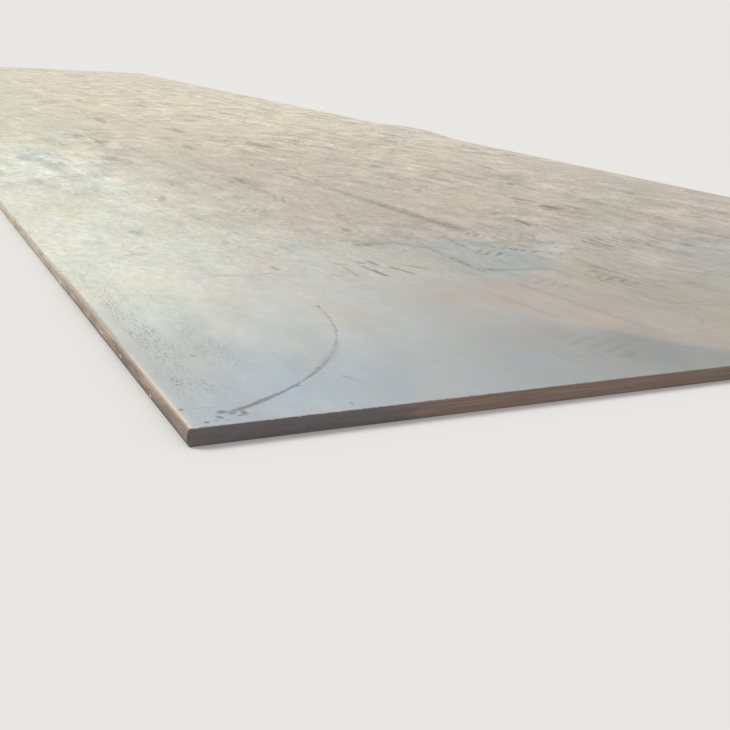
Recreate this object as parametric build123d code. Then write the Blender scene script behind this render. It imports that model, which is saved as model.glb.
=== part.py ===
from build123d import *
import os
from math import cos, pi, sqrt

# Hot-rolled plate, as one piece of stock lying flat. All sizes are in mm.
# X runs along the rolling direction, Y across the plate and Z up through its thickness.
# The origin is at the middle of the underside.

# The plate overall
length = 8000.0
width = 2000.0
thickness = 18.0

# The long edges are left as rolled: a shallow bulge between a tight upper corner
# and a fuller lower one
edge_bulge = 2.0
edge_upper_radius = 2.0
edge_lower_radius = 4.0

# The two ends are sheared. The blade drags the lower corner round, cuts a clean land
# above it, and the rest breaks away and leans back to a sharp upper corner
shear_corner_radius = 1.5
shear_land_height = 7.0
shear_break_lean = 1.0

# One of the long edges has a wave in it: a single hump that dies out into the plate
wave_from_end = 3100.0
wave_length = 850.0
wave_height = 14.0
wave_reach = 350.0
wave_stations = 17


def rolled_edge(shoulder_height):
    """The outline of a rolled edge, from its shoulder on the top face to its foot below.

    It is drawn with the plate's middle line at 0 and the edge's crest at half the width. The
    shoulder is at shoulder_height, and the foot is one thickness under it.
    """
    half = thickness / 2
    bulge_radius = (half**2 + edge_bulge**2) / (2 * edge_bulge)
    bulge_centre = Vector(width / 2 - bulge_radius, shoulder_height - half)

    def corner(radius, side):
        """Where a corner arc leaves the face (side 1 above, -1 below) and meets the bulge."""
        rise = side * (half - radius)
        reach = sqrt((bulge_radius - radius) ** 2 - rise**2)
        to_centre = Vector(reach, rise)
        on_face = bulge_centre + to_centre + Vector(0, side * radius)
        on_bulge = bulge_centre + to_centre.normalized() * bulge_radius
        return on_face, on_bulge

    shoulder, bulge_top = corner(edge_upper_radius, 1)
    foot, bulge_bottom = corner(edge_lower_radius, -1)
    crest = bulge_centre + Vector(bulge_radius, 0)
    upper_corner = TangentArc(shoulder, bulge_top, tangent=(1, 0))
    bulge = ThreePointArc(bulge_top, crest, bulge_bottom)
    lower_corner = TangentArc(bulge_bottom, foot, tangent=bulge % 1)
    return shoulder, foot, upper_corner + bulge + lower_corner


def rolled_slab():
    """The plate as it leaves the rolls: its cross-section drawn out along X."""
    with BuildPart() as slab:
        with BuildSketch(Plane.YZ):
            with BuildLine():
                shoulder, foot, edge = rolled_edge(thickness)
                add(edge)
                Line((0, shoulder.Y), shoulder)
                Line(foot, (0, foot.Y))
                mirror(about=Plane.YZ)
            make_face()
        extrude(amount=length / 2, both=True)
    return slab.part


def shear_profile():
    """The plate seen from its long side, with both sheared ends, drawn out across Y."""
    end = length / 2
    with BuildPart() as profile:
        with BuildSketch(Plane.XZ):
            with BuildLine():
                break_line = Line((end - shear_break_lean, thickness), (end, shear_land_height))
                land = Line(break_line @ 1, (end, shear_corner_radius))
                lower_corner = TangentArc(land @ 1, (end - shear_corner_radius, 0), tangent=(0, -1))
                Line((0, thickness), break_line @ 0)
                Line(lower_corner @ 1, (0, 0))
                mirror(about=Plane.YZ)
            make_face()
        extrude(amount=width, both=True)
    return profile.part


def wave_section(x, lift):
    """A slice of the waved strip at x, its edge raised by lift over an S-curve across."""
    inner = width / 2 - wave_reach
    across = Plane(origin=(x, 0, 0), x_dir=(0, -1, 0), z_dir=(-1, 0, 0))
    with BuildSketch(across) as section:
        with BuildLine():
            shoulder, foot, edge = rolled_edge(thickness + lift)
            middle = (inner + foot.X) / 2
            add(edge)
            Bezier((inner, thickness), (middle, thickness), (middle, shoulder.Y), shoulder)
            Bezier((inner, 0), (middle, 0), (middle, foot.Y), foot)
            Line((inner, 0), (inner, thickness))
        make_face()
    return section.sketch


def waved_strip():
    """The strip of plate that holds the wave, lofted through slices along its length."""
    start = wave_from_end - length / 2 - wave_length / 2
    sections = []
    for station in range(wave_stations):
        along = station / (wave_stations - 1)
        lift = wave_height * (1 - cos(2 * pi * along)) / 2
        sections.append(wave_section(start + along * wave_length, lift))
    return loft(sections)


def strip_room():
    """The block of flat plate that the waved strip takes the place of."""
    middle_x = wave_from_end - length / 2
    room = Box(wave_length, wave_reach, thickness, align=(Align.CENTER, Align.MIN, Align.MIN))
    return Pos(middle_x, -width / 2, 0) * room


plate = rolled_slab() & shear_profile()
plate = plate - strip_room() + waved_strip()
plate.label = "plate"

os.makedirs("parts", exist_ok=True)
export_step(plate, "parts/plate.step")
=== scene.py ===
from math import atan2, ceil, cos, degrees, pi, radians, sin, sqrt

import bmesh
import bpy
from mathutils import Matrix, Vector


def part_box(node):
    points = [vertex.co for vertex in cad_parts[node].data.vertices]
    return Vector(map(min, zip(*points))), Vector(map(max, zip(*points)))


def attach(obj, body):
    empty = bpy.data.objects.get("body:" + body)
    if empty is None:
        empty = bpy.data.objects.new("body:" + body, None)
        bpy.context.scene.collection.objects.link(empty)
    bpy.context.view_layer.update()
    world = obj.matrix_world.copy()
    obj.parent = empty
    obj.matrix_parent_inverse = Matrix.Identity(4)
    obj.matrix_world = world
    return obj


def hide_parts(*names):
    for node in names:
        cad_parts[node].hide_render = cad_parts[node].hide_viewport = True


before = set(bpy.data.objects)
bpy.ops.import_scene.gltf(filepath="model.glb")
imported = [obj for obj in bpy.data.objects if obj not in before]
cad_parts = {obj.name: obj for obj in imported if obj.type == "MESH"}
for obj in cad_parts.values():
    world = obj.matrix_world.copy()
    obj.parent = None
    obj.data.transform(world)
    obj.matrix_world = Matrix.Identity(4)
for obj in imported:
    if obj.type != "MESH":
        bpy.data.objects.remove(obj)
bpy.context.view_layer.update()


# The floor and the light
# A pale studio floor with no seam, an even soft surround, and one broad key light that comes
# over the plate's left long edge. Together they give about 1 on a face that looks up.

floor_reach = 400.0
floor_colour = (0.82, 0.81, 0.78, 1.0)
floor_roughness = 0.9
surround_level = 0.56
surround_seen = (0.806, 0.799, 0.768, 1.0)
key_from = Vector((0.55, 0.70, 0.75))
key_distance = 5.0
key_level = 2.1
key_softness = radians(20)

bpy.ops.object.select_all(action="DESELECT")
bpy.ops.mesh.primitive_plane_add(size=floor_reach)
floor = bpy.context.object
floor.name = "floor"
floor_paint = bpy.data.materials.new("floor_paint")
floor_paint.use_nodes = True
floor_surface = floor_paint.node_tree.nodes["Principled BSDF"]
floor_surface.inputs["Base Color"].default_value = floor_colour
floor_surface.inputs["Roughness"].default_value = floor_roughness
floor_surface.inputs["Specular IOR Level"].default_value = 0.0
floor.data.materials.append(floor_paint)

# The surround lights the plate evenly, and shows as a warmer tone where it is seen itself
surround = bpy.data.worlds.new("surround")
surround.use_nodes = True
bpy.context.scene.world = surround
surround_nodes = surround.node_tree.nodes
surround_links = surround.node_tree.links
surround_light = surround_nodes["Background"]
surround_light.inputs["Color"].default_value = (1.0, 1.0, 1.0, 1.0)
surround_light.inputs["Strength"].default_value = surround_level
surround_picture = surround_nodes.new("ShaderNodeBackground")
surround_picture.inputs["Color"].default_value = surround_seen
surround_ray = surround_nodes.new("ShaderNodeLightPath")
surround_or_mirror = surround_nodes.new("ShaderNodeMath")
surround_or_mirror.operation = "MAXIMUM"
surround_or_glass = surround_nodes.new("ShaderNodeMath")
surround_or_glass.operation = "MAXIMUM"
surround_choice = surround_nodes.new("ShaderNodeMixShader")
surround_links.new(surround_ray.outputs["Is Camera Ray"], surround_or_mirror.inputs[0])
surround_links.new(surround_ray.outputs["Is Glossy Ray"], surround_or_mirror.inputs[1])
surround_links.new(surround_or_mirror.outputs[0], surround_or_glass.inputs[0])
surround_links.new(surround_ray.outputs["Is Transmission Ray"], surround_or_glass.inputs[1])
surround_links.new(surround_or_glass.outputs[0], surround_choice.inputs["Fac"])
surround_links.new(surround_light.outputs["Background"], surround_choice.inputs[1])
surround_links.new(surround_picture.outputs["Background"], surround_choice.inputs[2])
surround_links.new(surround_choice.outputs["Shader"], surround_nodes["World Output"].inputs["Surface"])

bpy.ops.object.light_add(type="SUN", location=key_from * key_distance)
key_light = bpy.context.object
key_light.name = "key_light"
key_light.rotation_euler = key_from.to_track_quat("Z", "Y").to_euler()
key_light.data.energy = key_level
key_light.data.angle = key_softness


# The camera
# It stands low off the plate's near left corner and looks down its length, rolled a little to
# the left, as the photograph was taken.

plate_thickness = 0.018
plate_low, plate_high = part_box("plate")
near_corner = Vector((plate_low.x, plate_high.y, plate_thickness))
eye_from_corner = Vector((-0.8298, 0.2535, 0.3513))
heading = radians(-27.746)
look_down = radians(17.941)
roll = radians(3.796)
lens = 48.555
sensor_width = 36.0
nearest_seen = 0.01

bpy.ops.object.camera_add()
camera = bpy.context.object
camera.name = "camera"
camera.data.lens = lens
camera.data.sensor_width = sensor_width
camera.data.clip_start = nearest_seen
camera.data.clip_end = 2 * floor_reach
camera.matrix_world = (
    Matrix.Translation(near_corner + eye_from_corner)
    @ Matrix.Rotation(heading - pi / 2, 4, "Z")
    @ Matrix.Rotation(pi / 2 - look_down, 4, "X")
    @ Matrix.Rotation(roll, 4, "Z")
)
bpy.context.scene.camera = camera
bpy.context.scene.view_settings.view_transform = "Standard"


# The plate's shape
# One piece of hot-rolled plate. Its long edges are rounded as the rolls left them, and its two
# ends are sheared: a drawn-in lower corner, a cut land, and a break that leans back above it.

plate_end = plate_high.x
plate_side = plate_high.y

bulge_depth = 0.002
upper_radius = 0.002
lower_radius = 0.004

land_height = 0.007
break_lean = 0.001
drawn_in_radius = 0.0015

wave_from_end = 3.100
wave_length = 0.850
wave_reach = 0.350

# The heights of the rows of faces round the rim, close together at its two corners
rim_heights = [
    0.00018, 0.00065, 0.0015, 0.0030, 0.0050, land_height, 0.0090,
    0.0110, 0.0129, 0.0147, 0.0163, 0.0172, 0.0177,
]


def edge_inset(height):
    """How far the rolled edge stands back from its crest, at a height above the underside."""
    middle = plate_thickness / 2
    bulge_radius = (middle**2 + bulge_depth**2) / (2 * bulge_depth)
    corner_radius = upper_radius if height > middle else lower_radius
    rise = middle - corner_radius
    meets = rise * bulge_radius / (bulge_radius - corner_radius)
    away = abs(height - middle)
    if away < meets:
        return bulge_radius - sqrt(bulge_radius**2 - away**2)
    corner_reach = sqrt((bulge_radius - corner_radius) ** 2 - rise**2)
    return bulge_radius - corner_reach - sqrt(max(corner_radius**2 - (away - rise) ** 2, 0.0))


def end_inset(height):
    """How far the sheared end stands back from its land, at a height above the underside."""
    if height > land_height:
        return break_lean * (height - land_height) / (plate_thickness - land_height)
    below = max(drawn_in_radius - height, 0.0)
    return drawn_in_radius - sqrt(drawn_in_radius**2 - below**2)


bpy.ops.mesh.primitive_cube_add(
    size=1,
    location=(0, 0, plate_thickness / 2),
    scale=(2 * plate_end, 2 * plate_side, plate_thickness),
)
plate = bpy.context.object
plate.name = "hot_rolled_plate"
bpy.ops.object.transform_apply(location=True, rotation=True, scale=True)
bpy.ops.object.mode_set(mode="EDIT")

# Two places that lie closer together than this count as one
hair = 0.00001


def slice_plate(place, across):
    """Cuts the whole plate's skin along a plane."""
    bpy.ops.mesh.select_all(action="SELECT")
    bpy.ops.mesh.bisect(plane_co=place, plane_no=across)


def pick(kind, wanted):
    """Selects the plate's points, edges or faces that pass the test, and nothing else."""
    skin = bmesh.from_edit_mesh(plate.data)
    bpy.ops.mesh.select_all(action="DESELECT")
    bpy.context.tool_settings.mesh_select_mode = (kind == "verts", kind == "edges", kind == "faces")
    for part in getattr(skin, kind):
        part.select = wanted(part)
    skin.select_flush_mode()
    bmesh.update_edit_mesh(plate.data)


for height in rim_heights:
    slice_plate((0, 0, height), (0, 0, 1))
for height in [0.0, *rim_heights, plate_thickness]:
    pick("verts", lambda point: abs(point.co.z - height) < hair)
    bpy.ops.transform.resize(
        value=(1 - end_inset(height) / plate_end, 1 - edge_inset(height) / plate_side, 1),
        center_override=(0, 0, height),
    )

# Where the skin is cut: strips along the four sides that carry their relief, the stretch with
# the wave, and the parts by the near left corner that need a closer mesh
strip = 0.012
near_stretch = 1.5
near_width = 0.7
wave_start = plate_low.x + wave_from_end - wave_length / 2
wave_stop = wave_start + wave_length
wave_inner = -plate_side + wave_reach
lengths = [-plate_end + strip, -plate_end + near_stretch, wave_start, wave_stop, plate_end - strip]
widths = [-plate_side + strip, wave_inner, plate_side - near_width, plate_side - strip]
for x in lengths:
    slice_plate((x, 0, 0), (1, 0, 0))
for y in widths:
    slice_plate((0, y, 0), (0, 1, 0))


def divide(axis, start, stop, pitch, x_start=-plate_end, x_stop=plate_end):
    """Divides the edges that run along an axis from start to stop into parts of about a pitch."""

    def wanted(edge):
        low, high = sorted((point.co for point in edge.verts), key=lambda place: place[axis])
        run = high[axis] - low[axis]
        on_the_way = low[axis] > start - hair and high[axis] < stop + hair
        straight = run > hair and (high - low).length < run + hair
        between = all(x_start - hair < point.co.x < x_stop + hair for point in edge.verts)
        return on_the_way and straight and between

    # It takes two goes, because one can't make more than a hundred cuts
    parts = (stop - start) / pitch
    first = round(sqrt(parts))
    for share in (first, ceil(parts / first)):
        pick("edges", wanted)
        bpy.ops.mesh.subdivide(number_cuts=share - 1)


fine_pitch = 0.002
edge_pitch = 0.004
long_pitch = 0.011
wave_pitch = 0.022
pitches_along = [edge_pitch, long_pitch, long_pitch, long_pitch]
pitches_across = [edge_pitch, edge_pitch, fine_pitch]
for start, stop, pitch in zip(lengths, lengths[1:], pitches_along):
    divide(0, start, stop, pitch)
for start, stop, pitch in zip(widths, widths[1:], pitches_across):
    divide(1, start, stop, pitch, x_stop=lengths[0])
    divide(1, start, stop, edge_pitch, x_start=lengths[-1])
divide(1, widths[0], wave_inner, wave_pitch, wave_start, wave_stop)

# Which finish each face takes: 0 is the mill scale on the top and underside, 1 the rust on the
# rolled edges and 2 the rust on the sheared ends
skin = bmesh.from_edit_mesh(plate.data)
for face in skin.faces:
    middle = face.calc_center_median()
    if hair < middle.z < plate_thickness - hair:
        face.material_index = 2 if abs(middle.x) > plate_end - drawn_in_radius else 1

# The wave: a single hump in the right long edge that dies out into the plate
wave_height = plate_high.z - plate_thickness
shoulder = plate_side - edge_inset(plate_thickness)
for point in skin.verts:
    along = (point.co.x - wave_start) / (wave_stop - wave_start)
    across = (wave_inner - point.co.y) / (wave_inner + shoulder)
    if 0 < along < 1 and across > 0:
        across = min(across, 1.0)
        ease = across**3 * (10 - 15 * across + 6 * across**2)
        point.co.z += wave_height * ease * (1 - cos(2 * pi * along)) / 2
bmesh.update_edit_mesh(plate.data)
bpy.ops.object.mode_set(mode="OBJECT")


def roughen(name, axis, depth, patch, share):
    """Moves the plate's points along an axis by cloudy noise, as far as each one's share."""
    bpy.ops.object.empty_add()
    grid = bpy.context.object
    grid.scale = patch
    bpy.context.view_layer.objects.active = plate
    group = plate.vertex_groups.new(name=name)
    for point in plate.data.vertices:
        weight = share(point.co)
        if weight > 0:
            group.add([point.index], weight, "REPLACE")
    clouds = bpy.data.textures.new(name, "CLOUDS")
    clouds.noise_scale = 1.0
    clouds.noise_depth = 2
    displace = plate.modifiers.new(name, "DISPLACE")
    displace.texture = clouds
    displace.texture_coords = "OBJECT"
    displace.texture_coords_object = grid
    displace.direction = axis
    displace.mid_level = 0.5
    displace.strength = depth
    displace.vertex_group = name
    bpy.ops.object.modifier_apply(modifier=name)
    plate.vertex_groups.clear()
    bpy.data.objects.remove(grid)


def on_end(place):
    """1 on the sheared faces and 0 elsewhere."""
    on_face = abs(place.x) > plate_end - break_lean - hair
    between = break_lean < place.z < plate_thickness - hair
    return 1.0 if on_face and between else 0.0


def on_edge(place):
    """1 on the rolled edges and 0 elsewhere."""
    return 1.0 if abs(place.y) > shoulder + hair else 0.0


rim_depth = 0.0007
least_jagged = 0.35
jagged_from = 0.45
jagged_within = 0.35


def on_end_rim(place):
    """How jagged the sheared ends' upper corner is: most by the left edge, and 0 off the corner."""
    on_corner = abs(place.x) > plate_end - break_lean - hair and place.z > plate_thickness - rim_depth
    to_left = min(max((place.y - jagged_from) / jagged_within, 0.0), 1.0)
    return least_jagged + (1 - least_jagged) * to_left if on_corner else 0.0


# The relief: which way it goes and how far, the size of its clouds, and where it lies
roughen("tear_laps", "X", 0.0011, (0.02, 0.055, 0.0026), on_end)
roughen("tear_steps", "X", 0.0008, (0.02, 0.008, 0.003), on_end)
roughen("rolled_laps", "Y", 0.0009, (0.22, 0.02, 0.0028), on_edge)
roughen("rolled_line", "Y", 0.0016, (0.45, 0.5, 0.5), on_edge)
roughen("burr_bites", "X", 0.0024, (0.02, 0.0040, 0.02), on_end_rim)
roughen("burr_crest", "Z", 0.0014, (0.03, 0.0052, 0.03), on_end_rim)

# Corners sharper than this stay sharp, and the rest of the skin looks smooth
sharp_corner = radians(35)
bpy.ops.object.select_all(action="DESELECT")
plate.select_set(True)
bpy.context.view_layer.objects.active = plate
bpy.ops.object.shade_smooth_by_angle(angle=sharp_corner)


# The mill scale on the two faces
# A thin grey oxide skin that the hot rolls left: bluish by the near left corner, and warmed
# elsewhere by a tan rust bloom. It is trodden all over, and dirt has dried on it.
# Its cream along the left edge and its light tan far down the plate are partly painted sheen.


def paint(red, green, blue):
    """A colour, given as it looks on a screen from 0 to 255, in the light that it stands for."""
    return tuple(((c / 255 + 0.055) / 1.055) ** 2.4 for c in (red, green, blue)) + (1.0,)


class Level:
    """A value that varies over a surface, with its maths written as plain expressions."""

    def __init__(self, finish, socket):
        self.finish = finish
        self.socket = socket

    def part(self, name):
        """Another output of the node that this value comes from."""
        return Level(self.finish, self.socket.node.outputs[name])

    def __add__(self, other):
        return self.finish.maths("ADD", self, other)

    def __sub__(self, other):
        return self.finish.maths("SUBTRACT", self, other)

    def __rsub__(self, other):
        return self.finish.maths("SUBTRACT", other, self)

    def __mul__(self, other):
        return self.finish.maths("MULTIPLY", self, other)

    def __pow__(self, other):
        return self.finish.maths("POWER", self, other)

    __radd__ = __add__
    __rmul__ = __mul__

    def __abs__(self):
        return self.finish.maths("ABSOLUTE", self)

    def rise(self, start, stop):
        """Goes smoothly from 0 at start to 1 at stop, and stays there; start may be the larger."""
        return self.finish.node(
            "ShaderNodeMapRange",
            {"interpolation_type": "SMOOTHSTEP", "clamp": False},
            {"Value": self, "From Min": start, "From Max": stop},
        )

    def larger(self, other):
        """The larger of this value and another."""
        return self.finish.maths("MAXIMUM", self, other)

    def wave(self):
        """The sine of the value."""
        return self.finish.maths("SINE", self)


class Finish:
    """A material in the making, on the object's own coordinates.

    Places on the plate are given in metres, by how far they lie down it from the near end and over
    from its left edge, and by their height up from the underside.
    """

    def __init__(self, name, bend=0.0, bend_patch=1.0):
        self.material = bpy.data.materials.new(name)
        self.material.use_nodes = True
        self.nodes = self.material.node_tree.nodes
        self.links = self.material.node_tree.links
        self.surface = self.nodes["Principled BSDF"]
        self.place = self.node("ShaderNodeTexCoord", {}, {}, "Object")
        here = self.parts(self.place)
        self.down = here.part("X") - plate_low.x
        self.over = plate_high.y - here.part("Y")
        self.up = here.part("Z")
        self.bent = self.place
        if bend:
            self.bent = self.bend(bend, bend_patch)

    def node(self, kind, settings, inputs, output=0):
        """Adds a node, sets it up, gives it its inputs, and hands back one of its outputs."""
        made = self.nodes.new(kind)
        for name, value in settings.items():
            setattr(made, name, value)
        for name, value in inputs.items():
            self.give(made.inputs[name], value)
        return Level(self, made.outputs[output])

    def give(self, socket, value):
        """Links a value to a socket, or sets the socket where the value is a plain one."""
        if isinstance(value, Level):
            self.links.new(value.socket, socket)
        else:
            socket.default_value = value

    def maths(self, operation, first, second=0.0):
        """One step of arithmetic on two values."""
        return self.node("ShaderNodeMath", {"operation": operation}, {0: first, 1: second})

    def vector_maths(self, operation, first, second=(0.0, 0.0, 0.0), output=0):
        """One step of arithmetic on two vectors, or on two colours."""
        settings = {"operation": operation}
        return self.node("ShaderNodeVectorMath", settings, {0: first, 1: second}, output)

    def parts(self, vector):
        """A vector taken apart: its X, Y and Z are this value's parts."""
        return self.node("ShaderNodeSeparateXYZ", {}, {"Vector": vector})

    def blend(self, share, first, second, kind="MIX"):
        """Goes from the first colour to the second as the share goes from 0 to 1."""
        settings = {"data_type": "RGBA", "blend_type": kind}
        return self.node("ShaderNodeMix", settings, {0: share, 6: first, 7: second}, output=2)

    def tint(self, share, colour, by):
        """Multiplies a colour's red, green and blue, as far as the share goes."""
        return self.blend(share, colour, (*by, 1.0), "MULTIPLY")

    def times(self, colour, share):
        """A colour made darker or lighter by a share."""
        settings = {"operation": "SCALE"}
        return self.node("ShaderNodeVectorMath", settings, {0: colour, "Scale": share})

    def noise(self, patch, shift=0.0, detail=2.0, roughness=0.5, turn=0.0, curl=0.0):
        """Cloudy noise round 0.5, in patches of a size along X, Y and Z, curled up on itself."""
        stretched = self.node(
            "ShaderNodeMapping",
            {},
            {
                "Vector": self.place,
                "Location": (shift, shift, shift),
                "Rotation": (0.0, 0.0, radians(turn)),
                "Scale": tuple(1 / size for size in patch),
            },
        )
        return self.node(
            "ShaderNodeTexNoise",
            {},
            {
                "Vector": stretched,
                "Scale": 1.0,
                "Detail": detail,
                "Roughness": roughness,
                "Distortion": curl,
            },
        )

    def bend(self, reach, patch):
        """The surface's own coordinates, shifted to and fro so that what follows them wavers."""
        inputs = {"Vector": self.place, "Scale": 1 / patch, "Detail": 3.0}
        clouds = self.node("ShaderNodeTexNoise", {}, inputs, "Color")
        shift = self.vector_maths("SUBTRACT", clouds, (0.5, 0.5, 0.5))
        shift = self.vector_maths("MULTIPLY", shift, (reach, reach, 0.0))
        return self.vector_maths("ADD", self.place, shift)

    def around(self, down_at, over_at, half_length=1.0, half_width=1.0, turn=0.0):
        """How far along and across a place on the top face, in half lengths and half widths."""
        here = (plate_low.x + down_at, plate_high.y - over_at, 0.0)
        away = self.vector_maths("SUBTRACT", self.bent, here)
        forward = (cos(radians(turn)), sin(radians(turn)), 0.0)
        ahead = tuple(part / half_length for part in forward)
        aside = (-forward[1] / half_width, forward[0] / half_width, 0.0)
        along = self.vector_maths("DOT_PRODUCT", away, ahead, output="Value")
        across = self.vector_maths("DOT_PRODUCT", away, aside, output="Value")
        return along, across

    def spot(self, down_at, over_at, half_length, half_width, turn=0.0):
        """A soft-edged spot on the top face: 1 at its middle and 0 past its half length and width."""
        along, across = self.around(down_at, over_at, half_length, half_width, turn)
        return (along * along + across * across).rise(0.9, 0.0)

    def line(self, start, stop, half_width):
        """A soft-edged straight line on the top face: 1 along its middle and 0 past its half width."""
        run = Vector(stop) - Vector(start)
        middle = (Vector(start) + Vector(stop)) / 2
        turn = degrees(atan2(-run.y, run.x))
        along, across = self.around(middle.x, middle.y, run.length / 2, half_width, turn)
        return abs(along).rise(1.0, 0.6) * abs(across).rise(1.0, 0.0)

    def coat(self, thing, colour, roughness, relief, strength, depth):
        """Gives a thing this finish, with its colour, its roughness and its finest relief."""
        self.give(self.surface.inputs["Base Color"], colour)
        self.give(self.surface.inputs["Roughness"], roughness)
        inputs = {"Strength": strength, "Distance": depth, "Height": relief}
        bump = self.node("ShaderNodeBump", {}, inputs, "Normal")
        self.give(self.surface.inputs["Normal"], bump)
        thing.data.materials.append(self.material)


# The tones of the scale: along the left edge, further in, in the bloom, in the painted highlight
# along the left shoulder, in its marks and below
edge_blue = paint(182, 190, 195)
edge_cream_and_sheen = paint(228, 229, 214)
far_edge_cream_and_sheen = paint(211, 207, 187)
inner_grey = paint(149, 151, 149)
inner_warm_grey = paint(179, 176, 170)
inner_tan = paint(186, 176, 162)
far_tan_and_sheen = paint(220, 211, 189)
bloom_left_tan = paint(187, 176, 167)
bloom_tan = paint(175, 167, 154)
clean_grey = paint(167, 172, 170)
sheen_strip_grey = paint(200, 200, 195)
highlight_pink = paint(220, 208, 194)
highlight_cream = paint(226, 226, 210)
fringe_brown = paint(176, 168, 154)
stain_brown = paint(108, 98, 96)
burr_brown = paint(96, 86, 84)
underside_dark = paint(132, 125, 117)
underside_pale = paint(176, 168, 156)

scale = Finish("mill_scale", bend=0.012, bend_patch=0.03)
down = scale.down
over = scale.over
facing = scale.node("ShaderNodeTexCoord", {}, {}, "Normal")
topside = scale.parts(facing).part("Z").rise(-0.3, 0.3)
far = down.rise(1.1, 2.3)

# The tone along the left edge, the tone further in, and how the one wanders into the other
wander = scale.noise((0.16, 0.12, 1.0), 3.1, 4.0, 0.6) - 0.5
# The cream along the left edge and the light tan far down the plate are partly the scale's tone and
# partly painted sheen
edge_tone = scale.blend(down.rise(0.0, 0.68), edge_blue, edge_cream_and_sheen)
edge_tone = scale.blend(down.rise(1.6, 2.6), edge_tone, far_edge_cream_and_sheen)
inner_tone = scale.blend(down.rise(0.0, 0.5), inner_grey, inner_warm_grey)
inner_tone = scale.blend(down.rise(0.6, 1.0), inner_tone, inner_tan)
inner_tone = scale.blend(down.rise(0.3, 4.2), inner_tone, far_tan_and_sheen)
colour = scale.blend((over + wander * 0.16).rise(0.05, 0.75), edge_tone, inner_tone)

# The rust bloom: a tan wedge that comes in from the near end. Its left border slants over to the
# left edge, its far border slants away from the near end, and it fades out to the right
bloom_tone = scale.blend(over.rise(0.5, 0.95), bloom_left_tan, bloom_tan)
bloom_left = over + down * 0.35 + down.rise(0.03, 0.14) * 0.05 + down.rise(0.13, 0.28) * 0.07
bloom_left = (bloom_left + wander * 0.14).rise(0.760, 0.815)
bloom_far = over * 0.42 + (over - 0.8).larger(0.0) * 0.4 - down + wander * 0.05
bloom = bloom_left * bloom_far.rise(-0.218, -0.168) * over.rise(1.2, 0.9)
colour = scale.blend(bloom * 0.95, colour, bloom_tone)
clean_patch = scale.spot(0.650, 0.745, 0.24, 0.16)
colour = scale.blend(clean_patch * 0.7, colour, clean_grey)
blue_border = scale.line((0.530, 0.815), (0.700, 0.990), 0.020)
colour = scale.tint(blue_border * 0.8, colour, (0.955, 0.985, 1.03))

# Patches where the scale has another hue, from the near end on: place, half length, half width,
# turn and tint
hue_patches = [
    (0.070, 0.770, 0.040, 0.050, 0, (1.02, 0.96, 0.97)),
    (0.095, 0.740, 0.060, 0.060, -20, (0.91, 0.93, 0.94)),
    (0.115, 0.655, 0.150, 0.075, -28, (0.87, 0.87, 0.90)),
    (0.135, 0.705, 0.024, 0.028, 0, (1.03, 0.98, 0.91)),
    (0.150, 0.140, 0.170, 0.060, 0, (0.93, 0.98, 1.02)),
    (0.210, 0.560, 0.120, 0.050, -30, (0.97, 0.95, 1.00)),
    (0.360, 0.880, 0.110, 0.045, -20, (0.97, 1.02, 1.04)),
    (0.400, 0.510, 0.090, 0.045, -40, (1.03, 0.98, 0.94)),
    (0.450, 0.400, 0.420, 0.280, 0, (0.955, 0.95, 0.965)),
    (0.545, 0.865, 0.050, 0.028, -35, (1.02, 1.01, 0.94)),
    (0.545, 0.325, 0.090, 0.090, 0, (0.955, 0.95, 0.955)),
    (0.600, 0.270, 0.300, 0.220, 0, (0.965, 0.955, 0.985)),
    (0.930, 0.230, 0.130, 0.090, 0, (0.95, 0.97, 1.01)),
    (1.150, 1.480, 0.120, 0.520, 3, (0.90, 0.90, 0.91)),
    (1.190, 0.095, 0.150, 0.045, 15, (0.98, 0.94, 0.89)),
    (1.370, 1.800, 0.300, 0.330, 0, (0.93, 0.94, 0.94)),
    (1.470, 0.250, 0.080, 0.120, 0, (0.98, 1.03, 1.08)),
    (1.560, 0.820, 0.240, 0.110, 0, (1.05, 1.04, 1.03)),
    (1.560, 0.620, 0.110, 0.100, 0, (0.94, 0.935, 0.96)),
    (1.652, 0.150, 0.022, 0.220, 0, (1.11, 1.12, 1.15)),
    (1.720, 0.120, 0.150, 0.080, 0, (1.11, 1.12, 1.12)),
    (1.860, 0.215, 0.060, 0.045, 0, (0.92, 0.95, 0.94)),
    (1.900, 0.200, 0.600, 0.200, 0, (1.01, 1.025, 1.07)),
    (2.030, 0.166, 0.070, 0.040, 0, (0.92, 0.94, 0.96)),
    (2.120, 0.200, 0.240, 0.090, 0, (0.97, 1.01, 1.06)),
    (2.300, 0.250, 0.600, 0.200, 0, (1.08, 1.085, 1.08)),
    (2.550, 0.330, 0.400, 0.100, 0, (0.95, 0.99, 1.01)),
    (3.100, 0.380, 0.700, 0.330, 0, (1.045, 1.055, 1.045)),
    (3.170, 0.420, 0.300, 0.140, 0, (0.94, 0.98, 0.98)),
]
for down_at, over_at, half_length, half_width, turn, hue in hue_patches:
    patch = scale.spot(down_at, over_at, half_length, half_width, turn)
    colour = scale.tint(patch, colour, hue)

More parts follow.
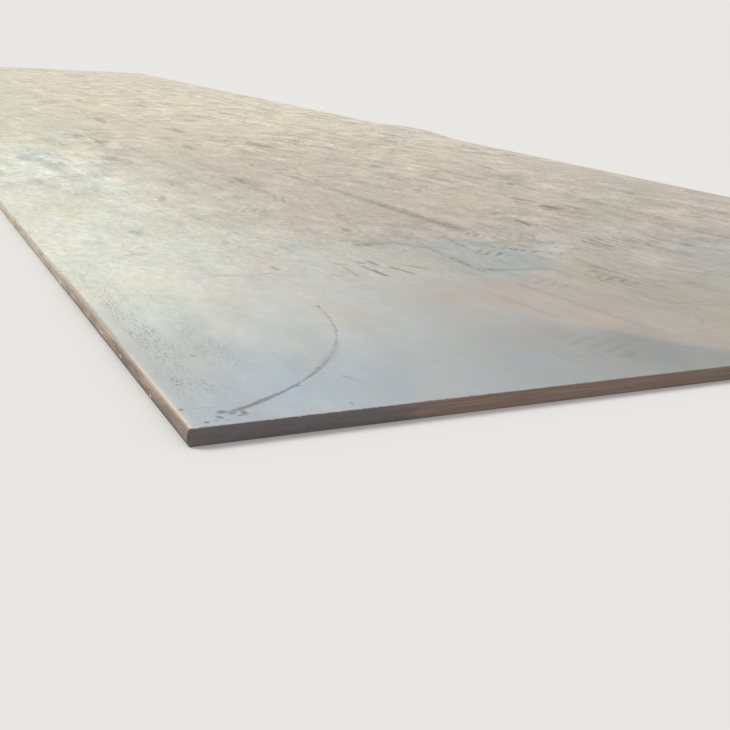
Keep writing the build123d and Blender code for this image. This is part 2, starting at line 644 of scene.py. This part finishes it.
# Hues that come and go: pink, cream and a glassy blue in patches away from the near left corner,
# and warm and cool all over, most by the left edge and the near end
pink = scale.noise((0.24, 0.11, 1.0), 12.4, 4.0, 0.6).rise(0.50, 0.66)
cream = scale.noise((0.45, 0.13, 1.0), 6.6, 4.0, 0.6).rise(0.48, 0.64)
glassy = scale.noise((0.17, 0.07, 1.0), 17.3, 4.0, 0.6).rise(0.54, 0.68)
settled = (down + over * 1.2).rise(0.6, 1.3) * (1 - far * 0.5)
colour = scale.tint(pink * settled * 0.5, colour, (1.03, 0.965, 0.93))
colour = scale.tint(cream * settled * 0.4, colour, (1.03, 1.01, 0.93))
colour = scale.tint(glassy * settled * 0.6, colour, (0.94, 0.985, 1.03))
warmth = scale.noise((0.13, 0.10, 1.0), 27.7, 6.0, 0.66).rise(0.32, 0.68)
warmth = scale.blend(warmth, (0.96, 1.0, 1.04, 1.0), (1.04, 1.0, 0.96, 1.0))
warmed = scale.vector_maths("MULTIPLY", colour, warmth)
warm_share = (over.rise(1.0, 0.4) * 0.6 + 0.35) * (down.rise(2.0, 0.7) * 0.65 + 0.35)
colour = scale.blend(warm_share, colour, warmed)

# Wear without a shape of its own: rolling streaks along the plate, smears, blots, a fine grain and
# coarser grit. The plate is more trodden away from the near left corner, busier towards its right
# edge, rougher past its near end, and crowded with wear in some patches
streaks = scale.noise((0.8, 0.020, 1.0), 1.3, 5.0, 0.62) - 0.5
smears = scale.noise((0.17, 0.12, 1.0), 5.2, 6.0, 0.7, turn=25) - 0.5
blots = scale.noise((0.10, 0.060, 1.0), 14.2, 5.0, 0.68, turn=-15) - 0.5
grain = scale.noise((0.004, 0.003, 1.0), 2.2, 3.0, 0.6) - 0.5
trodden = (down + over * 1.1).rise(0.65, 1.9)
busy = over.rise(0.5, 1.3)
crowded = scale.noise((0.55, 0.40, 1.0), 44.2, 3.0, 0.6).rise(0.36, 0.60)
grit = scale.noise((0.020, 0.012, 1.0), 71.3, 4.0, 0.75, turn=10) - 0.5
wear = streaks * 0.08 + smears * 0.17 + blots * 0.22
wear = wear * (trodden * 1.7 + far * 1.2 + busy * 1.2 + 1) * (crowded * 0.9 + 0.7)
rough = down.rise(0.3, 0.8)
shade = 1 + wear + grain * (rough * 0.30 + 0.12) + grit * ((busy * 0.35 + 0.80) * rough + 0.14)

# Brown smudges with a clearer outline, crowded together in places, curly scratches, and the small
# patches that dirt sticks in
smudges = scale.noise((0.17, 0.10, 1.0), 33.1, 6.0, 0.66, turn=-20, curl=0.4).rise(0.53, 0.61)
dashes = scale.noise((0.10, 0.024, 1.0), 21.7, 5.0, 0.65, turn=12).rise(0.56, 0.66)
smudges = (smudges * 0.7).larger(dashes) * crowded * trodden
scratches = scale.noise((0.13, 0.10, 1.0), 51.7, 3.0, 0.55, curl=1.6) - 0.5
scratches = abs(scratches).rise(0.016, 0.0) * crowded * trodden
patchy = scale.noise((0.016, 0.016, 1.0), 9.4, 4.0, 0.7).rise(0.25, 0.55)

# A boot's sole, in ovals for its ball and its heel on either side of its middle: how far off each
# lies, its half length and half width, and the pitch of its bars
ball_ahead = 0.093
ball_half_length = 0.1053
ball_half_width = 0.0571
cross_bar_pitch = 0.024
cross_bar_bend = 240
heel_behind = 0.140
heel_half_length = 0.0526
heel_half_width = 0.0333
long_bar_pitch = 0.019


def tread(along, side):
    """1 where the bars of a boot's sole and heel have left dirt, and 0 between and round them."""
    ball = ((along - ball_ahead) * (1 / ball_half_length)) ** 2 + (side * (1 / ball_half_width)) ** 2
    heel = ((along + heel_behind) * (1 / heel_half_length)) ** 2 + (side * (1 / heel_half_width)) ** 2
    cross_bars = along * (2 * pi / cross_bar_pitch) + side * side * cross_bar_bend
    cross_bars = cross_bars.wave().rise(0.1, 0.8)
    long_bars = (side * (2 * pi / long_bar_pitch)).wave().rise(0.0, 0.8)
    return (ball.rise(1.0, 0.6) * cross_bars).larger(heel.rise(1.0, 0.5) * long_bars)


def boot_print(finish, down_at, over_at, toe_towards):
    """The tread of one boot, its middle at a place on the plate and its toe to an angle."""
    along, across = finish.around(down_at, over_at, turn=toe_towards)
    return tread(along, across)


def strewn_prints(finish, cell, shift):
    """Boot prints strewn over the plate, one in each cell, turned and faded by chance."""
    moved = finish.vector_maths("ADD", finish.bent, (shift, shift / 2, 0.0))
    cells = finish.node(
        "ShaderNodeTexVoronoi",
        {"voronoi_dimensions": "2D"},
        {"Vector": moved, "Scale": 1 / cell},
        "Position",
    )
    from_middle = finish.vector_maths("SUBTRACT", moved, cells)
    chance = finish.node("ShaderNodeSeparateColor", {}, {"Color": cells.part("Color")})
    turned = finish.node(
        "ShaderNodeVectorRotate",
        {"rotation_type": "Z_AXIS"},
        {"Vector": from_middle, "Angle": chance.part("Red") * (2 * pi)},
    )
    on_sole = finish.parts(turned)
    return tread(on_sole.part("X"), on_sole.part("Y")) * chance.part("Green").rise(0.0, 1.2)


def strokes(finish, down_at, over_at, half_length, half_width, turn, pitch):
    """Dirt in parallel strokes a pitch apart, crosswise in an oval that is turned by an angle."""
    along, across = finish.around(down_at, over_at, half_length, half_width, turn)
    inside = (along * along + across * across).rise(1.0, 0.25)
    return inside * (along * (2 * pi * half_length / pitch)).wave().rise(-0.2, 0.7)


# The prints, by how far down the plate and in from its left edge they lie, the angle of the toe and
# how strong they are
boot_prints = [
    (0.135, 0.654, 95, 0.12),
    (0.264, 0.966, 75, 0.2),
    (0.412, 0.980, 100, 0.3),
    (0.718, 1.231, 90, 0.8),
    (1.152, 0.564, 160, 0.5),
]
dirt = 0.0
for down_at, over_at, toe_towards, strength in boot_prints:
    dirt = (boot_print(scale, down_at, over_at, toe_towards) * strength).larger(dirt)

# Smaller prints, of a heel or a toe: place, half length, half width, turn, pitch and strength
part_prints = [
    (0.119, 0.594, 0.085, 0.045, 23, 0.024, 0.25),
    (0.270, 0.900, 0.030, 0.055, 0, 0.020, 0.35),
    (0.425, 0.745, 0.060, 0.030, 35, 0.022, 0.35),
    (0.440, 0.882, 0.060, 0.024, 30, 0.022, 0.8),
    (0.652, 0.915, 0.035, 0.018, 40, 0.018, 0.6),
    (0.667, 0.783, 0.046, 0.028, 38, 0.020, 1.0),
    (0.675, 0.866, 0.042, 0.020, 45, 0.022, 0.8),
    (0.735, 0.945, 0.048, 0.026, 20, 0.022, 0.6),
    (0.832, 0.862, 0.048, 0.026, 45, 0.018, 0.9),
    (1.165, 0.486, 0.060, 0.045, 60, 0.020, 0.5),
]
for down_at, over_at, half_length, half_width, turn, pitch, strength in part_prints:
    rubbed = strokes(scale, down_at, over_at, half_length, half_width, turn, pitch)
    dirt = (rubbed * strength).larger(dirt)

# Straight marks, each by its start, stop, half width and strength: the bars of the one clear boot
# print, lines that were dragged over the plate, the bars of a fainter print further in, and the dark
# strokes on the rest of the plate
clear_print_bars = [
    ((0.621, 0.456), (0.530, 0.442), 0.007, 0.9),
    ((0.623, 0.486), (0.520, 0.496), 0.008, 1.5),
    ((0.655, 0.519), (0.602, 0.516), 0.008, 1.4),
    ((0.607, 0.531), (0.532, 0.551), 0.008, 1.1),
    ((0.622, 0.550), (0.572, 0.600), 0.008, 0.6),
    ((0.642, 0.441), (0.620, 0.467), 0.007, 0.6),
    ((0.650, 0.490), (0.618, 0.516), 0.007, 0.9),
    ((0.611, 0.568), (0.558, 0.593), 0.008, 0.9),
    ((0.566, 0.409), (0.540, 0.420), 0.007, 0.6),
    ((0.544, 0.454), (0.522, 0.474), 0.006, 0.5),
    ((0.604, 0.337), (0.642, 0.333), 0.007, 0.9),
    ((0.592, 0.213), (0.586, 0.264), 0.006, 0.8),
    ((0.606, 0.222), (0.602, 0.252), 0.005, 0.5),
    ((0.580, 0.272), (0.592, 0.320), 0.006, 0.5),
]
dragged_lines = [
    ((0.104, 0.728), (0.495, 0.681), 0.012, 0.3),
    ((0.826, 0.540), (0.772, 0.622), 0.018, 0.8),
    ((0.840, 0.590), (0.716, 0.704), 0.020, 0.5),
    ((0.780, 0.687), (0.610, 0.680), 0.013, 0.6),
    ((0.674, 0.680), (0.510, 0.680), 0.013, 0.9),
    ((0.550, 0.668), (0.533, 0.750), 0.014, 0.7),
    ((0.542, 0.718), (0.528, 0.830), 0.012, 0.55),
    ((0.232, 0.620), (0.425, 0.605), 0.012, 0.3),
    ((0.717, 0.764), (0.850, 0.778), 0.014, 0.6),
    ((0.600, 0.905), (0.880, 0.865), 0.016, 0.4),
    ((0.840, 0.858), (1.290, 0.824), 0.036, 1.0),
    ((1.122, 0.841), (1.784, 0.787), 0.026, 0.7),
    ((1.664, 0.813), (1.674, 0.975), 0.016, 0.8),
    ((0.870, 1.234), (1.010, 1.216), 0.014, 0.5),
    ((0.995, 1.061), (0.900, 1.046), 0.010, 1.4),
]
inner_print_bars = [
    ((0.768, 1.135), (0.707, 1.127), 0.008, 0.8),
    ((0.743, 1.165), (0.700, 1.171), 0.009, 0.9),
    ((0.738, 1.200), (0.696, 1.199), 0.009, 0.9),
    ((0.752, 1.250), (0.720, 1.255), 0.009, 0.7),
    ((0.728, 1.250), (0.708, 1.278), 0.010, 0.7),
    ((0.695, 1.270), (0.653, 1.280), 0.011, 1.0),
]
dark_strokes = [
    ((0.370, 0.938), (0.590, 0.912), 0.009, 0.5),
    ((0.450, 0.904), (0.358, 1.027), 0.017, 0.4),
    ((0.493, 0.878), (0.435, 0.901), 0.010, 1.0),
    ((0.495, 1.037), (0.418, 1.107), 0.015, 0.5),
    ((0.647, 1.285), (0.593, 1.308), 0.018, 0.5),
    ((0.999, 1.552), (0.951, 1.606), 0.025, 0.6),
    ((1.030, 1.068), (0.900, 1.073), 0.009, 0.9),
    ((1.045, 1.217), (0.946, 1.275), 0.026, 0.6),
    ((1.078, 1.046), (1.055, 1.088), 0.015, 1.1),
    ((1.087, 1.063), (1.058, 1.083), 0.011, 0.8),
    ((1.104, 1.336), (1.174, 1.336), 0.014, 0.7),
    ((1.128, 1.235), (1.084, 1.247), 0.021, 1.0),
    ((1.171, 1.257), (1.095, 1.286), 0.035, 1.5),
    ((1.206, 1.416), (1.073, 1.541), 0.057, 0.3),
    ((1.235, 1.222), (1.173, 1.234), 0.015, 0.9),
    ((1.297, 1.256), (1.200, 1.272), 0.029, 1.0),
    ((1.562, 1.407), (1.523, 1.411), 0.021, 1.0),
    ((1.609, 0.615), (1.539, 0.624), 0.012, 1.0),
    ((1.750, 1.423), (1.685, 1.490), 0.031, 0.5),
    ((1.784, 0.840), (1.432, 0.832), 0.009, 0.7),
    ((1.824, 0.802), (1.805, 0.849), 0.023, 1.0),
    ((1.842, 1.444), (1.752, 1.558), 0.066, 0.5),
    ((1.926, 1.167), (1.857, 1.170), 0.024, 1.0),
    ((1.972, 1.651), (1.950, 1.742), 0.024, 0.8),
    ((2.098, 0.793), (1.844, 0.761), 0.009, 0.6),
    ((2.345, 1.734), (2.264, 1.854), 0.070, 0.45),
    ((2.474, 0.975), (2.360, 1.019), 0.027, 1.2),
    ((2.521, 0.451), (2.439, 0.488), 0.022, 1.1),
    ((2.612, 0.448), (2.523, 0.462), 0.014, 1.2),
    ((2.728, 0.377), (2.610, 0.434), 0.022, 0.8),
    ((2.992, 0.799), (2.890, 0.851), 0.040, 1.0),
    ((4.186, 0.878), (4.076, 0.906), 0.030, 1.0),
    ((4.525, 0.761), (4.335, 0.783), 0.022, 0.7),
]
straight_marks = clear_print_bars + dragged_lines + inner_print_bars + dark_strokes
for start, stop, half_width, strength in straight_marks:
    dirt = (scale.line(start, stop, half_width) * strength).larger(dirt)

# Blots of dirt: place, half length, half width, turn and strength
dirt_blots = [
    (0.185, 0.830, 0.030, 0.012, -30, 0.4),
    (0.499, 0.885, 0.012, 0.018, 0, 0.8),
    (0.534, 0.742, 0.012, 0.018, 0, 0.8),
    (0.548, 0.700, 0.010, 0.016, 0, 0.8),
    (0.634, 0.498, 0.012, 0.011, 0, 0.9),
    (0.670, 1.272, 0.024, 0.012, 0, 0.7),
    (0.693, 0.852, 0.018, 0.012, -30, 0.9),
    (0.766, 0.150, 0.016, 0.030, 0, 0.5),
    (0.767, 1.117, 0.030, 0.012, -20, 0.7),
    (0.782, 0.572, 0.030, 0.026, 20, 1.0),
    (0.812, 0.577, 0.014, 0.018, 0, 0.9),
    (0.832, 0.322, 0.040, 0.014, -20, 0.4),
    (0.868, 0.095, 0.030, 0.030, 0, 0.4),
    (0.908, 1.086, 0.022, 0.012, -15, 0.8),
    (0.922, 0.606, 0.028, 0.016, -30, 0.8),
    (0.949, 0.192, 0.034, 0.018, 10, 0.7),
    (0.950, 1.057, 0.034, 0.012, -15, 1.1),
    (0.993, 0.838, 0.030, 0.014, -20, 0.8),
    (1.062, 1.044, 0.022, 0.014, 0, 0.5),
    (1.082, 0.666, 0.032, 0.014, -20, 0.7),
    (1.141, 1.276, 0.030, 0.016, 0, 0.9),
    (1.204, 0.832, 0.034, 0.026, 0, 1.1),
    (1.250, 1.271, 0.030, 0.016, 0, 1.0),
    (1.333, 0.348, 0.060, 0.014, -20, 0.7),
    (1.344, 1.266, 0.034, 0.016, -10, 0.8),
    (1.414, 1.049, 0.038, 0.014, -20, 0.9),
    (1.505, 0.630, 0.040, 0.012, 0, 0.7),
    (1.525, 1.418, 0.044, 0.014, -30, 1.0),
    (1.544, 0.640, 0.070, 0.040, 0, 0.4),
    (1.592, 0.596, 0.050, 0.016, 0, 0.8),
    (1.624, 0.629, 0.060, 0.014, 0, 0.9),
    (1.654, 0.808, 0.044, 0.012, -15, 1.0),
    (1.893, 1.572, 0.090, 0.020, -10, 1.1),
    (2.066, 0.398, 0.110, 0.040, -5, 0.5),
    (2.350, 0.716, 0.090, 0.022, -5, 1.0),
    (2.419, 0.775, 0.070, 0.014, -5, 0.7),
    (2.459, 0.455, 0.120, 0.022, -5, 1.0),
    (2.910, 0.841, 0.150, 0.030, -5, 1.0),
    (3.276, 0.632, 0.200, 0.030, -5, 0.8),
]
for down_at, over_at, half_length, half_width, turn, strength in dirt_blots:
    blot = scale.spot(down_at, over_at, half_length, half_width, turn)
    dirt = (blot * strength).larger(dirt)

# Older prints, strewn in cells of two sizes, show between these marks. The underside has none
strewn = strewn_prints(scale, 0.42, 3.7).larger(strewn_prints(scale, 0.33, 11.9)) * trodden
dirt = (strewn * 0.5).larger(dirt) * patchy * topside

# A drip of rusty water has dried in an arc by the near left corner: a dark streak at first, then a
# thin line with knots in it, which frays and fades away
arc_down_at = 0.4172
arc_off_edge = 0.1138
arc_radius = 0.4199
arc_middle = (plate_low.x + arc_down_at, plate_high.y + arc_off_edge, 0.0)
from_middle = scale.vector_maths("SUBTRACT", scale.place, arc_middle)
arc_off = scale.vector_maths("LENGTH", from_middle, output="Value") - arc_radius
frayed = scale.noise((0.004, 0.004, 1.0), 8.8, 3.0, 0.6) - 0.5
knotted = scale.noise((0.020, 0.020, 1.0), 18.8, 3.0, 0.6).rise(0.40, 0.62)
arc_half_width = down.rise(0.11, 0.04) * 0.0020 + knotted * 0.0014 + 0.0008
arc = (arc_half_width - abs(arc_off) + frayed * 0.004).rise(-0.0014, 0.0014)
fuzz = (down.rise(0.10, 0.15) * down.rise(0.26, 0.20) * 0.006 - abs(arc_off)).rise(-0.002, 0.003)
arc = arc.larger(fuzz * (frayed + 0.5) * 0.7)
arc = arc * down.rise(0.026, 0.036) * down.rise(0.398, 0.386) * over.rise(0.0, 0.03)
stain = arc * (down.rise(0.20, 0.05) * 0.45 + 0.6)

# Drops of the same water: place, half length, half width, turn and strength. All of it is mottled
stain_blots = [
    (0.013, 0.045, 0.0030, 0.0050, 0, 0.6),
    (0.014, 0.023, 0.0042, 0.0042, 0, 1.3),
    (0.017, 0.033, 0.0030, 0.0045, 0, 0.5),
    (0.020, 0.181, 0.0030, 0.0030, 0, 0.9),
    (0.022, 0.063, 0.0032, 0.0080, 10, 0.9),
    (0.023, 0.040, 0.0070, 0.0042, 50, 1.2),
    (0.027, 0.066, 0.0060, 0.0040, 0, 1.2),
    (0.029, 0.056, 0.0040, 0.0060, 0, 1.0),
    (0.035, 0.048, 0.0060, 0.0070, 0, 1.1),
    (0.050, 0.032, 0.0012, 0.0240, -4, 0.7),
    (0.052, 0.009, 0.0040, 0.0035, 0, 1.3),
    (0.085, 0.147, 0.0080, 0.0030, -60, 1.0),
    (0.097, 0.212, 0.0120, 0.0070, 20, 0.4),
    (0.112, 0.064, 0.0030, 0.0030, 0, 0.6),
    (0.136, 0.196, 0.0080, 0.0045, -50, 1.0),
    (0.217, 0.072, 0.0050, 0.0040, 0, 0.7),
    (0.386, 0.297, 0.0040, 0.0060, 0, 0.4),
    (0.388, 0.308, 0.0080, 0.0030, -10, 0.8),
]
for down_at, over_at, half_length, half_width, turn, strength in stain_blots:
    blot = scale.spot(down_at, over_at, half_length, half_width, turn)
    stain = (blot * strength).larger(stain)
stain = stain * (frayed * 1.4 + 1.0)

# Fine dark specks along the left edge, in a dense row and a sparse one, and a few faint ones everywhere
speck_size = scale.noise((0.0046, 0.0034, 1.0), 6.1, 3.0, 0.65)
speck_patches = scale.noise((0.05, 0.016, 1.0), 10.3, 3.0, 0.6).rise(0.34, 0.60)
dense_row = over.rise(0.085, 0.046) * over.rise(0.012, 0.028)
dense_row = dense_row * down.rise(0.03, 0.13) * down.rise(0.85, 0.45)
sparse_row = over.rise(0.140, 0.110) * over.rise(0.070, 0.090)
sparse_row = sparse_row * down.rise(0.13, 0.20) * down.rise(0.65, 0.48)
specks = speck_size.rise(0.46, 0.59) * speck_patches * (dense_row + sparse_row * 0.7)
specks = specks.larger(speck_size.rise(0.68, 0.76) * 0.4)

# Along the left shoulder a pale strip and a thin pale line are painted highlight, where the rounded
# corner catches the light, with a fringe of rust further on, and along the near end the rust creeps
# over the burr
painted_sheen_strip = (over + frayed * 0.003).rise(0.0150, 0.0085)
colour = scale.blend(painted_sheen_strip * down.rise(0.5, 0.2) * 0.7, colour, sheen_strip_grey)
painted_shoulder_highlight = (over + frayed * 0.002).rise(0.0080, 0.0062)
painted_shoulder_highlight_tone = scale.blend(down.rise(0.5, 0.8), highlight_pink, highlight_cream)
colour = scale.blend(painted_shoulder_highlight * 0.9, colour, painted_shoulder_highlight_tone)
fringe = (over + wander * 0.006).rise(0.0075, 0.0050) * down.rise(0.22, 0.30) * down.rise(0.75, 0.55)
colour = scale.blend(fringe * 0.8, colour, fringe_brown)
burr_rust = (down + frayed * 0.004).rise(0.0034, 0.0018)

# All of this is laid over the tones, on the top alone. The underside has only smears and blots
soiled = scale.noise((0.50, 0.17, 1.0), 61.3, 4.0, 0.62, turn=-12).rise(0.44, 0.66) * trodden
marks = smudges * (far * 0.04 + 0.15) + scratches * 0.09 + soiled * 0.08 + dirt * 0.38
colour = scale.times(colour, shade * (1 - marks))
colour = scale.tint(smudges * 0.8, colour, (1.01, 0.99, 0.955))
colour = scale.tint(specks * topside * 0.82, colour, (0.52, 0.56, 0.61))
colour = scale.blend(stain * topside * 0.64, colour, stain_brown)
colour = scale.blend(burr_rust * topside * 0.75, colour, burr_brown)
underside = scale.blend(smears + blots * 0.6 + 0.5, underside_dark, underside_pale)
colour = scale.blend(topside, underside, colour)

scale.surface.inputs["Metallic"].default_value = 0.4
roughness = smears * 0.2 + dirt * 0.1 + 0.42
relief = grain * 0.2 + smears * 0.6
scale.coat(plate, colour, roughness, relief, strength=0.2, depth=0.0008)


# The rust on the rolled edges
# The long edges were never cut. Their scale has rusted brown in mottled patches, darkest along the
# foot, where painted shade lies over the rust, with a thin pale line of painted highlight along the
# upper corner.

near_brown = paint(116, 101, 88)
near_tan = paint(150, 132, 114)
far_brown = paint(160, 149, 133)
far_edge_tan = paint(186, 172, 154)
purple_brown = paint(120, 110, 108)
foot_shade_and_rust_brown = paint(84, 74, 66)
rim_highlight_tan = paint(200, 184, 166)
glint_white = paint(214, 208, 200)

edge_rust = Finish("edge_rust")
bands = edge_rust.noise((0.35, 0.02, 0.0025), 1.9, 4.0, 0.6)
blotches = edge_rust.noise((0.07, 0.02, 0.014), 4.6, 6.0, 0.72)
purple_patches = edge_rust.noise((0.10, 0.02, 0.020), 15.6, 4.0, 0.6)
grit = edge_rust.noise((0.003, 0.003, 0.0012), 7.3, 3.0, 0.6)
near_tone = edge_rust.blend(blotches.rise(0.40, 0.60), near_brown, near_tan)
far_tone = edge_rust.blend(blotches.rise(0.40, 0.60), far_brown, far_edge_tan)
colour = edge_rust.blend(edge_rust.down.rise(0.30, 0.95), near_tone, far_tone)
colour = edge_rust.blend(purple_patches.rise(0.50, 0.64) * 0.5, colour, purple_brown)

# The dark foot, rust with painted shade over it, the upper part and the line along the corner made
# lighter as painted highlight, and two stretches where the edge has worn darker
# Painted shade along the foot, laid over darker rust
foot_shade_and_rust = (edge_rust.up + (blotches - 0.5) * 0.006).rise(0.0078, 0.0040)
foot_shade_and_rust = foot_shade_and_rust * (edge_rust.down.rise(1.1, 0.3) * 0.65 + 0.25)
colour = edge_rust.blend(foot_shade_and_rust, colour, foot_shade_and_rust_brown)
# Painted highlight: the upper part made lighter, and a thin pale line along the upper corner
upper = (edge_rust.up + (blotches - 0.5) * 0.003).rise(0.0130, 0.0158)
colour = edge_rust.times(colour, upper * 0.14 + 1)
rim_highlight = (edge_rust.up + (blotches - 0.5) * 0.0012).rise(0.0168, 0.0176)
colour = edge_rust.blend(rim_highlight * 0.40, colour, rim_highlight_tan)
worn = edge_rust.down.rise(0.045, 0.010)
worn = worn.larger(edge_rust.down.rise(0.150, 0.180) * edge_rust.down.rise(0.340, 0.240))
colour = edge_rust.times(colour, 1 - worn * 0.15)
colour = edge_rust.times(colour, 1 + (grit - 0.5) * 0.35 + (bands - 0.5) * 0.40)

# Small white flakes with a painted glint, by how far down the edge they lie, their height, half
# length and half height
glint_places = [
    (0.131, 0.0065, 0.0050, 0.0020),
    (0.263, 0.0090, 0.0050, 0.0026),
    (0.360, 0.0105, 0.0130, 0.0012),
    (0.640, 0.0070, 0.0100, 0.0022),
]
glint_depth = 0.02
glinting_flakes = 0.0
for down_at, up_at, half_length, half_height in glint_places:
    off = edge_rust.node(
        "ShaderNodeMapping",
        {"vector_type": "TEXTURE"},
        {
            "Vector": edge_rust.place,
            "Location": (plate_low.x + down_at, plate_side, up_at),
            "Scale": (half_length, glint_depth, half_height),
        },
    )
    glinting_flakes = edge_rust.vector_maths("LENGTH", off, output="Value").rise(1.0, 0.5).larger(glinting_flakes)
colour = edge_rust.blend(glinting_flakes * 0.8, colour, glint_white)

roughness = (blotches - 0.5) * 0.2 + 0.65
relief = bands * 0.7 + grit * 0.3
edge_rust.coat(plate, colour, roughness, relief, strength=0.5, depth=0.0006)


# The rust on the sheared ends
# The torn steel has rusted to a dull purplish brown by the left corner and to orange brown
# further in, where the tear has left laps that run across the plate.

dull_purple = paint(108, 99, 102)
orange = paint(132, 110, 99)
brown = paint(124, 107, 98)
lap_tan = paint(150, 128, 112)

end_rust = Finish("end_rust")
laps = end_rust.noise((0.02, 0.07, 0.0020), 2.6, 4.0, 0.6)
clouds = end_rust.noise((0.05, 0.05, 0.006), 5.8, 4.0, 0.6)
grit = end_rust.noise((0.002, 0.003, 0.0011), 8.1, 3.0, 0.6)
orange_zone = (end_rust.over + (clouds - 0.5) * 0.16).rise(0.21, 0.28)
brown_zone = end_rust.over.rise(0.4, 0.8)
colour = end_rust.blend(orange_zone, dull_purple, orange)
colour = end_rust.blend(brown_zone * 0.6, colour, brown)
colour = end_rust.blend(laps.rise(0.45, 0.7) * 0.5 * orange_zone, colour, lap_tan)
# Lighter towards the bottom: a worn band, and painted light that evens out the shade near the floor
colour = end_rust.times(colour, end_rust.up.rise(0.0065, 0.0030) * 0.12 + 1)
colour = end_rust.times(colour, 1 + (laps - 0.5) * 0.5 + (grit - 0.5) * 0.3 + (clouds - 0.5) * 0.3)

roughness = 0.75
relief = laps * 0.7 + grit * 0.3
end_rust.coat(plate, colour, roughness, relief, strength=0.6, depth=0.0006)

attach(plate, "root")
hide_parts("plate")
